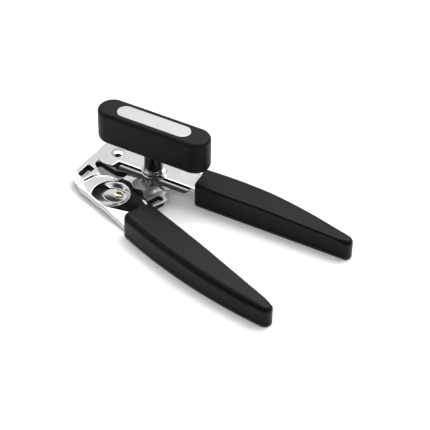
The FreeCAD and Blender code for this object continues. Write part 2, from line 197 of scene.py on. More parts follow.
def make(name, points, normals, faces, lower, body, slot, material, stands_for):
    where = to_row(points, lower)
    facing = to_row(normals, lower) * 1000 - SHIFT
    mesh = bpy.data.meshes.new(name)
    mesh.from_pydata(where.tolist(), [], [list(f) for f in faces])
    mesh.shade_smooth()
    mesh.normals_split_custom_set_from_vertices(unit(facing).tolist())
    mesh.materials.append(material)
    thing = bpy.data.objects.new(name, mesh)
    bpy.context.scene.collection.objects.link(thing)
    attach(thing, body)
    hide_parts(*stands_for)
    return thing


def cap(loops, grid):
    """Triangles over the region between loops, with evenly spaced points inside it."""
    edge = np.concatenate(loops)
    low, high = edge.min(0), edge.max(0)
    xs = np.arange(low[0] + grid / 2, high[0], grid)
    ys = np.arange(low[1] + grid / 2, high[1], grid * 0.866)
    inner = np.array([(x + (grid / 2 if j % 2 else 0), y) for j, y in enumerate(ys) for x in xs])
    if len(inner):
        keep = inside(inner, loops[0])
        for hole in loops[1:]:
            keep &= ~inside(inner, hole)
        inner = inner[keep]
    if len(inner):
        near = np.full(len(inner), 1e9)
        for loop in loops:
            for i in range(0, len(inner), 500):
                near[i:i + 500] = np.minimum(near[i:i + 500], distance(inner[i:i + 500], loop))
        inner = inner[near > grid * 0.45]
    points = np.concatenate((edge, inner)) if len(inner) else edge
    edges = []
    first = 0
    for loop in loops:
        count = len(loop)
        edges += [(first + i, first + (i + 1) % count) for i in range(count)]
        first += count
    found = delaunay_2d_cdt([Vector(p) for p in points], edges, [], 0, 1e-7)
    where = np.array([tuple(v) for v in found[0]])
    back = {}
    for new, olds in enumerate(found[3]):
        for old in olds:
            back[old] = new
    middles = np.array([where[list(f)].mean(0) for f in found[2]])
    keep = inside(middles, loops[0])
    for hole in loops[1:]:
        keep &= ~inside(middles, hole)
    tris = []
    for f, wanted in zip(found[2], keep):
        if wanted:
            flat = where[list(f)]
            turned = area(flat) < 0
            tris.append(tuple(reversed(f)) if turned else tuple(f))
    return where, tris, [back[i] for i in range(len(edge))]


def skin(loops, rings, place, grid, low_grid=None):
    """Closed skin over a flat region: rings run from the top face over the edge to the bottom.

    loops[0] is the outline and the others are openings.  Each ring is (inset, depth, up, out):
    how far it lies in from the edge, how deep below the face place(uv, 0), and the mix of the
    face's normal and the outward one that it is shaded with."""
    loops = [loop if (area(loop) > 0) == (i == 0) else loop[::-1] for i, loop in enumerate(loops)]
    sides = [inward(loop) for loop in loops]
    sizes = [len(loop) for loop in loops]
    points, normals, faces, rows = [], [], [], []
    total = 0

    def values(v, loop):
        return np.broadcast_to(np.asarray(v(loop) if callable(v) else v, float), (len(loop),))

    def face_normal(uv):
        h = 0.02
        zero = np.zeros(len(uv))
        du = place(uv + (h, 0), zero) - place(uv - (h, 0), zero)
        dv = place(uv + (0, h), zero) - place(uv - (0, h), zero)
        return unit(np.cross(du, dv))

    for k, (inset, depth, up, out) in enumerate(rings):
        flat = [loop + side * values(inset, loop)[:, None] for loop, side in zip(loops, sides)]
        if k in (0, len(rings) - 1):
            where, tris, back = cap(flat, grid if k == 0 else (low_grid or grid))
            deep = np.asarray(depth(where) if callable(depth) else np.full(len(where), depth), float)
            points.append(place(where, deep))
            normals.append(face_normal(where) * (1 if k == 0 else -1))
            faces += [tuple(total + i for i in (t if k == 0 else t[::-1])) for t in tris]
            rows.append([total + i for i in back])
            total += len(where)
            continue
        uv = np.concatenate(flat)
        deep = np.concatenate([values(depth, f) for f in flat])
        points.append(place(uv, deep))
        up_way = face_normal(uv)
        edge = np.concatenate(loops)
        side = np.concatenate(sides)
        zero = np.zeros(len(uv))
        out_way = place(edge - side * 0.02, zero) - place(edge + side * 0.02, zero)
        out_way = unit(out_way - up_way * (out_way * up_way).sum(1, keepdims=True))
        normals.append(unit(up_way * up + out_way * out))
        rows.append(list(range(total, total + len(uv))))
        total += len(uv)
    for upper, lower in zip(rows, rows[1:]):
        first = 0
        for count in sizes:
            for i in range(count):
                j = (i + 1) % count
                a, b, c, d = upper[first + i], lower[first + i], lower[first + j], upper[first + j]
                faces.append((a, b, c, d))
            first += count
    return np.concatenate(points), np.concatenate(normals), faces


def edge_rings(thick, e, steps=3):
    """Rings of a sheet of that thickness with its edges broken by radius e."""
    rings = []
    for k in range(steps + 1):
        t = math.pi / 2 * k / steps
        rings.append((e * (1 - math.sin(t)), e * (1 - math.cos(t)), math.cos(t), math.sin(t)))
    for k in range(steps, -1, -1):
        t = math.pi / 2 * k / steps
        rings.append((e * (1 - math.sin(t)), thick - e * (1 - math.cos(t)), -math.cos(t), math.sin(t)))
    return rings


def slab_rings(top, low, r_top, r_low, steps=6):
    """Rings of a block from z = low up to top(uv), with rounded upper and lower edges."""
    rings = []
    for k in range(steps + 1):
        t = math.pi / 2 * k / steps
        rings.append((lambda p, t=t: r_top(p) * (1 - math.sin(t)),
                      lambda p, t=t: r_top(p) * (1 - math.cos(t)), math.cos(t), math.sin(t)))
    for k in range(steps, -1, -1):
        t = math.pi / 2 * k / steps
        rings.append((lambda p, t=t: r_low(p) * (1 - math.sin(t)),
                      lambda p, t=t: top(p) - low - r_low(p) * (1 - math.cos(t)),
                      -math.cos(t), math.sin(t)))
    return rings


def revolved(cx, cy, profile, count=64, turn=0.25):
    """Turn an (r, z, corner radius) outline, from the axis round to the axis or closed."""
    closed = profile[0][0] > 1e-6
    flat = []
    last = len(profile) - 1
    for i, (r, z, c) in enumerate(profile):
        if not closed and i in (0, last):
            flat.append(np.array((r, z), float))
            continue
        flat += corner(profile[i - 1][:2], (r, z), profile[(i + 1) % len(profile)][:2], c, turn)
    flat = np.array(flat)
    step = np.roll(flat, -1, 0) - flat
    if not closed:
        step[-1] = 0
    along = unit(step + np.roll(step, 1, 0))
    out = np.stack((along[:, 1], -along[:, 0]), 1)
    if not closed:
        out[0] = (0, math.copysign(1, out[0][1]))
        out[-1] = (0, math.copysign(1, out[-1][1]))
    t = np.arange(count) * 2 * math.pi / count
    points, normals, faces = [], [], []
    rows = []
    for (r, z), (n_r, n_z) in zip(flat, out):
        if r < 1e-6:
            rows.append([len(points)] * count)
            points.append((cx, cy, z))
            normals.append((0, 0, n_z))
            continue
        rows.append(list(range(len(points), len(points) + count)))
        points += [(cx + r * c, cy + r * s, z) for c, s in zip(np.cos(t), np.sin(t))]
        normals += [(n_r * c, n_r * s, n_z) for c, s in zip(np.cos(t), np.sin(t))]
    pairs = list(zip(rows, rows[1:])) + ([(rows[-1], rows[0])] if closed else [])
    for a, b in pairs:
        for i in range(count):
            j = (i + 1) % count
            quad = [a[i], a[j], b[j], b[i]]
            seen = []
            for q in quad:
                if q not in seen:
                    seen.append(q)
            if len(seen) > 2:
                faces.append(tuple(seen))
    return np.array(points), np.array(normals), faces


# ------------------------------------------------------------------ materials
def node_tools(name):
    material = bpy.data.materials.new(name)
    material.use_nodes = True
    tree = material.node_tree
    shader = tree.nodes["Principled BSDF"]

    def add(kind, **values):
        node = tree.nodes.new(kind)
        for key, value in values.items():
            if hasattr(node, key):
                setattr(node, key, value)
            else:
                node.inputs[key.replace("_", " ")].default_value = value
        return node

    def link(a, b):
        tree.links.new(a, b)

    return material, shader, add, link


def spotted(name, low, high, rough, grain, bump, metallic=0.0, stretch=(1, 1, 1),
            wear=40.0, gloss=0.5, rough_swing=0.06):
    """Surface whose colour, roughness and height all vary a little, at two scales."""
    material, shader, add, link = node_tools(name)
    place = add("ShaderNodeTexCoord")
    spread = add("ShaderNodeMapping")
    spread.inputs["Scale"].default_value = stretch
    link(place.outputs["Object"], spread.inputs["Vector"])
    fine = add("ShaderNodeTexNoise")
    fine.inputs["Scale"].default_value = grain
    fine.inputs["Detail"].default_value = 4.0
    link(spread.outputs["Vector"], fine.inputs["Vector"])
    broad = add("ShaderNodeTexNoise")
    broad.inputs["Scale"].default_value = wear
    broad.inputs["Detail"].default_value = 3.0
    link(place.outputs["Object"], broad.inputs["Vector"])
    colour = add("ShaderNodeMix", data_type="RGBA")
    colour.inputs[6].default_value = (*low, 1)
    colour.inputs[7].default_value = (*high, 1)
    link(broad.outputs["Fac"], colour.inputs[0])
    link(colour.outputs[2], shader.inputs["Base Color"])
    both = add("ShaderNodeMath", operation="ADD")
    link(fine.outputs["Fac"], both.inputs[0])
    link(broad.outputs["Fac"], both.inputs[1])
    swing = add("ShaderNodeMapRange")
    swing.inputs["From Min"].default_value = 0.6
    swing.inputs["From Max"].default_value = 1.4
    swing.inputs["To Min"].default_value = rough - rough_swing
    swing.inputs["To Max"].default_value = rough + rough_swing
    link(both.outputs[0], swing.inputs["Value"])
    link(swing.outputs["Result"], shader.inputs["Roughness"])
    height = add("ShaderNodeBump")
    height.inputs["Strength"].default_value = 1.0
    height.inputs["Distance"].default_value = bump
    link(fine.outputs["Fac"], height.inputs["Height"])
    link(height.outputs["Normal"], shader.inputs["Normal"])
    shader.inputs["Metallic"].default_value = metallic
    shader.inputs["Specular IOR Level"].default_value = gloss
    return material


CHROME = spotted("chrome", (0.67, 0.675, 0.685), (0.73, 0.73, 0.735), 0.085, 900, 0.0000006,
                 metallic=1.0, wear=120, rough_swing=0.03)
SOFT = spotted("soft_black", (0.0045, 0.0045, 0.0046), (0.0062, 0.0062, 0.0063), 0.5, 5200, 0.000014,
               wear=90, gloss=0.12, rough_swing=0.05)
GRIP = spotted("grip_black", (0.0035, 0.0035, 0.0036), (0.0052, 0.0052, 0.0053), 0.27, 3600, 0.000006,
               wear=70, gloss=0.1, rough_swing=0.05)
HARD = spotted("hard_black", (0.004, 0.004, 0.0041), (0.006, 0.006, 0.0061), 0.18, 2600, 0.000003,
               wear=60, gloss=0.3, rough_swing=0.05)
SATIN = spotted("satin_steel", (0.6, 0.6, 0.6), (0.68, 0.68, 0.675), 0.26, 700, 0.0000015,
                metallic=1.0, wear=200, rough_swing=0.05)
RIVET = spotted("rivet_steel", (0.6, 0.585, 0.53), (0.68, 0.66, 0.6), 0.12, 900, 0.0000008,
                metallic=1.0, wear=260, rough_swing=0.04)
DULL = spotted("dull_chrome", (0.72, 0.72, 0.725), (0.78, 0.78, 0.78), 0.33, 1100, 0.000001,
               metallic=1.0, wear=160, rough_swing=0.04)
# near-black colour for the lips under the punched holes: painted shade inside the holes, not a finish
# of the steel
HOLE_SHADE = spotted("painted_hole_shade", (0.006, 0.006, 0.006), (0.01, 0.0098, 0.0095), 0.5, 1200, 0.000004,
               wear=200, gloss=0.2, rough_swing=0.05)
BRUSHED = spotted("brushed_inlay", (0.39, 0.39, 0.385), (0.44, 0.44, 0.435), 0.3, 900, 0.000002,
                  metallic=1.0, stretch=(0.04, 4, 1), wear=30, rough_swing=0.06)
WHEEL = spotted("wheel_steel", (0.5, 0.495, 0.485), (0.6, 0.595, 0.585), 0.24, 1400, 0.000002,
                metallic=1.0, wear=260, rough_swing=0.06)
BRASS = spotted("pale_brass", (0.74, 0.68, 0.5), (0.82, 0.76, 0.6), 0.2, 900, 0.000001,
                metallic=1.0, wear=300, rough_swing=0.05)
FLOOR = spotted("pale_floor", (0.88, 0.88, 0.88), (0.9, 0.9, 0.9), 0.7, 60, 0.00002, wear=3)


# ------------------------------------------------------------------ upper arm
def upper_arm():
    bend_start, bend_r, flat_end, bend_angle = 6.2, 4.6, 3.5, 1.1
    reach = bend_r * bend_angle + 1.0
    half = bend_start + reach

    def place(uv, depth):
        x, y = uv[:, 0], uv[:, 1]
        grow = np.clip((x - flat_end) / 7.5, 0, 1)
        most = grow * grow * (3 - 2 * grow) * bend_angle
        w = np.maximum(np.abs(y) - bend_start, 0)
        turn = np.minimum(w / bend_r, most)
        left = w - turn * bend_r
        r = bend_r - depth
        side = np.minimum(np.abs(y), bend_start) + r * np.sin(turn) + left * np.cos(turn)
        z = ARM_TOP - bend_r + r * np.cos(turn) - left * np.sin(turn)
        return np.stack((x, np.sign(y) * side, z), 1)

    corners = [(-12.8, 12.8, 12.79), (-12.8, -12.8, 12.79), (4.0, -12.8, 5), (10, -half, 5),
               (56.0, -half, 3.0), (56.0, -8.0, 0.6), (58.0, -7.0, 0.5), (93.8, -7, 2),
               (93.8, 7, 2), (58.0, 7.0, 0.5), (56.0, 8.0, 0.6), (56.0, half, 3.0), (10, half, 5),
               (4.0, 12.8, 5)]
    outline = rounded(corners, 0.9)
    holes = [circle(0, 0, PIVOT_R), circle(*SPINDLE, BUSH_R)]
    p, n, f = skin([outline, *holes], edge_rings(SHEET, 0.28), place, 1.0)
    return make("upper_arm_plate", p, n, f, False, "upper", "chromed_steel", CHROME, ["upper_arm"])


# ------------------------------------------------------------------ lower arm
def ramp(t, width):
    """0 below 0 and 1 above 1, with both knees rounded over +-width."""
    def knee(x):
        return np.where(x < -width, 0, np.where(x > width, x, (x + width) ** 2 / (4 * width)))
    return knee(t) - knee(t - 1)


RIM_AT = -34.6
RIM_R = 1.8
RIM_LONG = RIM_R * math.pi / 2 + 0.3


def lower_arm():
    sunk_low = rounded([
        (4.6, -60, 0), (4.6, -20.5, 6), (11.5, -14.8, 3), (23.4, -13.2, 2), (36.0, -13.4, 3),
        (46.5, -15.2, 3), (51.5, -19.0, 3), (140, -19.5, 0), (140, -60, 0)], 200)
    sunk_high = rounded([
        (3.4, -60, 0), (3.4, -19.6, 6), (10.9, -13.6, 3), (22.6, -9.6, 2), (36.0, -9.9, 3),
        (46.3, -14.0, 3), (52.6, -17.2, 3), (140, -17.8, 0), (140, -60, 0)], 200)

    def face_z(a, b):
        uv = np.stack((a, b), 1)
        z = np.empty(len(a))
        for i in range(0, len(a), 1500):
            part = uv[i:i + 1500]
            in_low, in_high = inside(part, sunk_low), inside(part, sunk_high)
            d_low = distance(part, sunk_low)
            d_high = distance(part, sunk_high)
            share = np.where(in_low, 1 + d_low,
                             np.where(in_high, d_high / np.maximum(d_low + d_high, 1e-6), -d_high))
            z[i:i + 1500] = LOW_TOP - RECESS * ramp(share, 0.16)
        # the drawn cup, whose flat floor is not concentric with its rim
        c0 = np.array((24.4, -24.7))
        dc = np.array((25.2, -22.4)) - c0
        r0, dr = 11.8, 7.4 - 11.8
        px, py = a - c0[0], b - c0[1]
        qa = dc @ dc - dr * dr
        qb = -2 * (px * dc[0] + py * dc[1] + r0 * dr)
        qc = px * px + py * py - r0 * r0
        root = np.sqrt(np.maximum(qb * qb - 4 * qa * qc, 0))
        t = (-qb + root) / (2 * qa)
        t2 = (-qb - root) / (2 * qa)
        t = np.where(r0 + t * dr >= 0, t, t2)
        t = np.where((r0 + t2 * dr >= 0) & (t2 < t), t2, t)
        floor = np.clip(t, 0, 1)
        lean = 0.105 * (dc[1] + c0[1] - b) * floor
        tab = np.clip((a - 36.5) / 5, 0, 1)
        tab = tab * tab * (3 - 2 * tab) * np.clip(b + 13.0, 0, 11) * 0.1
        # the corner next to the handle falls away from a line that runs past the cup
        past = (a - 28.9) * 0.516 - (b + 37.0) * 0.857
        past = np.where(past > 0.8, past, np.maximum(past + 0.8, 0) ** 2 / 3.2)
        skirt = np.minimum(past, 11.0) * 0.215 * np.clip((-17.0 - b) / 5.0, 0, 1)
        left_past = np.maximum((9.0 - a) * 0.35 - (b + 33.0) * 0.937, 0)
        skirt = skirt + np.where(a < 20, left_past * 0.2, 0)
        return z - 2.0 * ramp(t, 0.14) + lean * floor - tab - skirt

    def place(uv, depth):
        a, b = uv[:, 0], uv[:, 1]
        w = np.maximum(RIM_AT - b, 0)
        turn = np.minimum(w / RIM_R, math.pi / 2)
        left = w - turn * RIM_R
        bb = np.maximum(b, RIM_AT)
        base = face_z(a, bb)
        if not np.any(depth):
            return np.stack((a, bb - RIM_R * np.sin(turn), base - RIM_R * (1 - np.cos(turn)) - left), 1)
        h = 0.05
        slope_a = (face_z(a + h, bb) - face_z(a - h, bb)) / (2 * h)
        slope_b = (face_z(a, bb + h) - face_z(a, bb - h)) / (2 * h)
        slope_b = np.where(w > 0, 0, slope_b)
        up = unit(np.stack((-slope_a, -slope_b, np.ones(len(a))), 1))
        # over the rim the face's normal swings from up to outward
        n_b = up[:, 1] * np.cos(turn) - up[:, 2] * np.sin(turn)
        n_z = up[:, 2] * np.cos(turn) + up[:, 1] * np.sin(turn)
        p_b = bb - RIM_R * np.sin(turn)
        p_z = base - RIM_R * (1 - np.cos(turn)) - left
        return np.stack((a - up[:, 0] * depth, p_b - n_b * depth, p_z - n_z * depth), 1)

    centre_angle = math.radians(WINDOW_END)
    inner, outer = WINDOW_REACH - WINDOW_HALF, WINDOW_REACH + WINDOW_HALF
    cx, cy = WINDOW_REACH * math.cos(centre_angle), WINDOW_REACH * math.sin(centre_angle)
    window = arc(0, 0, inner, math.asin(BACK_EDGE / inner), centre_angle)
    window += arc(cx, cy, WINDOW_HALF, centre_angle + math.pi, centre_angle + 2 * math.pi)[1:-1]
    window += arc(0, 0, outer, centre_angle, math.asin(BACK_EDGE / outer))
    back_left = corner((-14.2, -6.0), (-12.5, 10.5), (10, 10.5), 9)
    tail = [(43.5, 10.5, 2), (44.6, 0.2, 2), (50.4, -1.2, 1.2), (50.4, -15.5, 3), (52.4, -23, 1),
            (89.6, -23, 2), (89.6, -37, 2), (52.6, -37, 0.5),
            (52.4, RIM_AT - RIM_LONG, 0.6), (8.6, RIM_AT - RIM_LONG, 6),
            (4.2, -35.2, 6), (-5.0, -34.6, 7), (-14.2, -6.0, 5), (-12.5, 10.5, 0)]
    points = list(window)
    for i in range(len(tail) - 1):
        before = tail[i - 1][:2] if i else (33.7, 10.5)
        points += corner(before, tail[i][:2], tail[i + 1][:2], tail[i][2])
    points += back_left
    outline = fill_in(points, 0.7)
    holes = [
        rounded([(-7.6, -9.5, 2.5), (-4.6, -14.6, 2.5), (6.6, -18.6, 2.5), (10.2, -14.2, 3),
                 (18.2, -12.6, 2), (16.2, -2.0, 3), (9.0, -8.2, 4), (-1.0, -9.6, 4)], 0.6),
        rounded([(-7.0, -17.8, 0.7), (-0.8, -17.8, 0.7), (2.0, -28.2, 2.2), (-3.9, -29.4, 2.6)], 0.6),
        rounded([(43.6, -12.4, 0.7), (49.2, -12.4, 0.7), (49.2, -2.6, 2.4), (43.6, -2.6, 0.7)], 0.6),
        circle(0, 0, PIVOT_R + RUN), circle(*CUTTER, CUTTER_PIN, 32)]
    # the punched edges are turned down on the underside as deep lips, coloured near black as painted
    # shade that keeps the holes dark
    for number, hole in enumerate(holes[:3]):
        hole = hole if area(hole) > 0 else hole[::-1]
        outer = hole - inward(hole) * 0.5

        def lip_place(uv, depth):
            return np.stack((uv[:, 0], uv[:, 1], RING_TOP - 0.45 - depth), 1)

        p, n, f = skin([outer, hole], edge_rings(3.9, 0.12, 2), lip_place, 1.0)
        make("lower_arm_lip_%d" % (number + 1), p, n, f, True, "lower", "satin_steel", HOLE_SHADE, [])
    p, n, f = skin([outline, *holes], edge_rings(SHEET, 0.26), place, 0.62)
    plate = make("lower_arm_plate", p, n, f, True, "lower", "chromed_steel", CHROME, ["lower_arm"])
    # the raised strip behind the cup has a duller face than the rest
    plate.data.materials.append(DULL)
    c, s = math.cos(OPEN), math.sin(OPEN)
    for polygon in plate.data.polygons:
        x, y = polygon.center.x * 1000 - SHIFT[0], polygon.center.y * 1000 - SHIFT[1]
        a, b = x * c - y * s, x * s + y * c
        if a > 19 and b > -8.8 - 3.0 * min(max((a - 36) / 4, 0), 1):
            polygon.material_index = 1


# ------------------------------------------------------------------ handles
def three_point_arc(a, b, c, turn=0.08, least=4):
    a, b, c = (np.array(p, float) for p in (a, b, c))
    d = 2 * (a[0] * (b[1] - c[1]) + b[0] * (c[1] - a[1]) + c[0] * (a[1] - b[1]))
    ux = ((a @ a) * (b[1] - c[1]) + (b @ b) * (c[1] - a[1]) + (c @ c) * (a[1] - b[1])) / d
    uy = ((a @ a) * (c[0] - b[0]) + (b @ b) * (a[0] - c[0]) + (c @ c) * (b[0] - a[0])) / d
    centre = np.array((ux, uy))
    r = np.linalg.norm(a - centre)
    t0 = math.atan2(*(a - centre)[::-1])
    t1 = math.atan2(*(c - centre)[::-1])
    tm = math.atan2(*(b - centre)[::-1])
    ccw = (t1 - t0) % (2 * math.pi)
    sweep = ccw if (tm - t0) % (2 * math.pi) < ccw else ccw - 2 * math.pi
    steps = max(least, math.ceil(abs(sweep) / turn), math.ceil(abs(sweep) * r / 2.2))
    return [centre + r * np.array((math.cos(t0 + sweep * i / steps), math.sin(t0 + sweep * i / steps)))
            for i in range(steps + 1)]


def handle_outline(length):
    low = HANDLE_INNER
    outer_start, outer_end = (4.5, 9.7), (0.975 * length, -1.3)
    tip = (length - 2.2, low + 0.9)
    inner_front, front_low = (4.8, low), (2.0, low + 2.6)
    points = three_point_arc(outer_end, (0.52 * length, 8.3), outer_start)
    points += three_point_arc(outer_start, (1.25, 8.45), (0, 5.4))
    points += [np.array(p, float) for p in fill_in([(0, 5.4), front_low], 0.8, False)[1:]]
    points += three_point_arc(front_low, (2.8, low + 0.75), inner_front)[1:]
    points += [np.array(p, float) for p in fill_in([inner_front, tip], 2.0, False)[1:]]
    points += three_point_arc(tip, (length, -5.6), outer_end)[1:-1]
    return np.array([p for i, p in enumerate(points)
                     if np.linalg.norm(p - points[i - 1]) > 1e-4])


def handle(prefix, length, start_x, start_y, lower, body):
    loop = handle_outline(length)
    flip = -1.0 if lower else 1.0

    def top(uv):
        fall = np.maximum(uv[:, 0] - 0.4 * length, 0)
        slope = 3.2 / (0.6 * length + 9)
        soft = 12.0
        return HANDLE_TOP - slope * np.where(fall < soft, fall * fall / (2 * soft), fall - soft / 2)

    def place(uv, depth):
        return np.stack((uv[:, 0], uv[:, 1], top(uv) - depth), 1)

    def broad(p):
        """Edge radius: wide on the swelling side, narrow on the straight side and the front."""
        side = np.clip((p[:, 1] + 6.5) / 9.0, 0, 1)
        front = np.clip((p[:, 0] + 2.5) / 6.5, 0, 1)
        tip = np.clip((p[:, 0] - length + 9.0) / 8.0, 0, 1)
        ease = side * side * (3 - 2 * side) * front * front * (3 - 2 * front)
        wide = 1.25 + 3.0 * ease
        return wide + (3.3 - wide) * tip * tip * (3 - 2 * tip)

    def settle(points, normals):
        q = points.copy()
        m = normals.copy()
        q[:, 1] *= flip
        m[:, 1] *= flip
        q[:, 0] += start_x
        q[:, 1] += start_y
        return q, m

    def turned(faces):
        return [f[::-1] for f in faces] if lower else faces

    rings = slab_rings(top, SEAM + SEAM_GROOVE, broad, lambda p: np.full(len(p), 0.35), 7)
    p, n, f = skin([loop], rings, place, 2.0, 3.0)
    p, n = settle(p, n)
    make(prefix + "_grip_shell", p, n, turned(f), lower, body, "soft_grip", GRIP,
         [prefix + "_handle_shell"])

    def flat_top(uv):
        return np.full(len(uv), SEAM)

    def flat_place(uv, depth):
        return np.stack((uv[:, 0], uv[:, 1], SEAM - depth), 1)

    rings = slab_rings(flat_top, 0.0, lambda p: np.full(len(p), 0.25),
                       lambda p: np.full(len(p), 0.7), 4)
    p, n, f = skin([loop], rings, flat_place, 3.0)
    p, n = settle(p, n)
    make(prefix + "_grip_base", p, n, turned(f), lower, body, "hard_plastic", HARD,
         [prefix + "_handle_base"])
    # narrow tongue that fills the seam from inside, so that no light shows through it
    core = rounded([(6.0, -9.0, 1), (length - 30, -9.0, 1), (length - 30, 4.0, 1), (6.0, 4.0, 1)], 4)

    def core_place(uv, depth):
        return np.stack((uv[:, 0], uv[:, 1], 2.8 - depth), 1)

    p, n, f = skin([core], edge_rings(0.8, 0.05), core_place, 4.0)
    p, n = settle(p, n)
    make(prefix + "_grip_tongue", p, n, turned(f), lower, body, "hard_plastic", HARD, [])


# ------------------------------------------------------------------ crank
def knob_body():
    """Rounded block with a stadium pocket in its top face."""
    outer = stadium(*SPINDLE, KNOB_LENGTH, KNOB_WIDTH)
    pocket = stadium(*SPINDLE, INLAY_LENGTH, INLAY_WIDTH)
    height = KNOB_HIGH - KNOB_LOW
    points, normals, faces = [], [], []

    def add_points(uv, depth, facing):
        first = sum(len(p) for p in points)
        z = np.full(len(uv), KNOB_HIGH - depth)
        points.append(np.stack((uv[:, 0], uv[:, 1], z), 1))
        normals.append(facing)
        return first

    def add_face(loops, grid, depth, up):
        """Flat face between loops; returns the numbers of the points on its edges."""
        where, tris, back = cap(loops, grid)
        first = add_points(where, depth, np.tile((0, 0, up), (len(where), 1)))
        faces.extend(tuple(first + i for i in (t if up > 0 else t[::-1])) for t in tris)
        return [first + i for i in back]

    def join(row, new):
        count = len(new)
        faces.extend((row[i], new[i], new[(i + 1) % count], row[(i + 1) % count])
                     for i in range(count))
        return new

    def add_row(row, uv, depth, way, up, out):
        """Row of points facing up times z plus out times way, joined to the row before."""
        facing = np.concatenate((way * out, np.full((len(uv), 1), up)), 1)
        first = add_points(uv, depth, facing)
        return join(row, list(range(first, first + len(uv))))

    steps, lip_steps, lip = 8, 3, 0.3
    side = inward(outer)
    mouth = pocket[::-1]
    away = inward(mouth)
    back = add_face([outer + side * KNOB_EDGE, mouth + away * lip], 1.5, 0, 1.0)
    row = back[:len(outer)]
    for k in range(1, steps + 1):
        t = math.pi / 2 * k / steps
        row = add_row(row, outer + side * KNOB_EDGE * (1 - math.sin(t)),
                      KNOB_EDGE * (1 - math.cos(t)), -side, math.cos(t), math.sin(t))
    for k in range(steps, -1, -1):
        t = math.pi / 2 * k / steps
        row = add_row(row, outer + side * KNOB_EDGE * (1 - math.sin(t)),
                      height - KNOB_EDGE * (1 - math.cos(t)), -side, -math.cos(t), math.sin(t))
    join(row, add_face([outer + side * KNOB_EDGE], 4.0, height, -1.0))
    # pocket: rounded lip, wall and floor
    row = back[len(outer):]
    for k in range(1, lip_steps + 1):
        t = math.pi / 2 * k / lip_steps
        row = add_row(row, mouth + away * lip * (1 - math.sin(t)),
                      lip * (1 - math.cos(t)), -away, math.cos(t), math.sin(t))
    add_row(row, mouth, INLAY_DEPTH, -away, 0.0, 1.0)
    add_face([pocket], 3.0, INLAY_DEPTH, 1.0)
    make("knob_grip", np.concatenate(points), np.concatenate(normals), faces, False, "crank",
         "soft_grip", SOFT, ["turn_knob"])


def inlay():
    loop = stadium(*SPINDLE, INLAY_LENGTH - 0.2, INLAY_WIDTH - 0.2)

    def place(uv, depth):
        return np.stack((uv[:, 0], uv[:, 1], KNOB_HIGH - 0.1 - depth), 1)

    p, n, f = skin([loop], edge_rings(0.7, 0.3, 4), place, 2.5)
    make("inlay_plate", p, n, f, False, "crank", "satin_steel", BRUSHED, ["knob_inlay_plate"])


def dome(r, z, height, power=1.0, steps=8):
    """Outline of a domed head of radius r, from its rim at z to its top."""
    out = []
    for k in range(steps + 1):
        t = math.pi / 2 * k / steps
        out.append((r * math.cos(t) ** power, z + height * math.sin(t), 0))
    return out


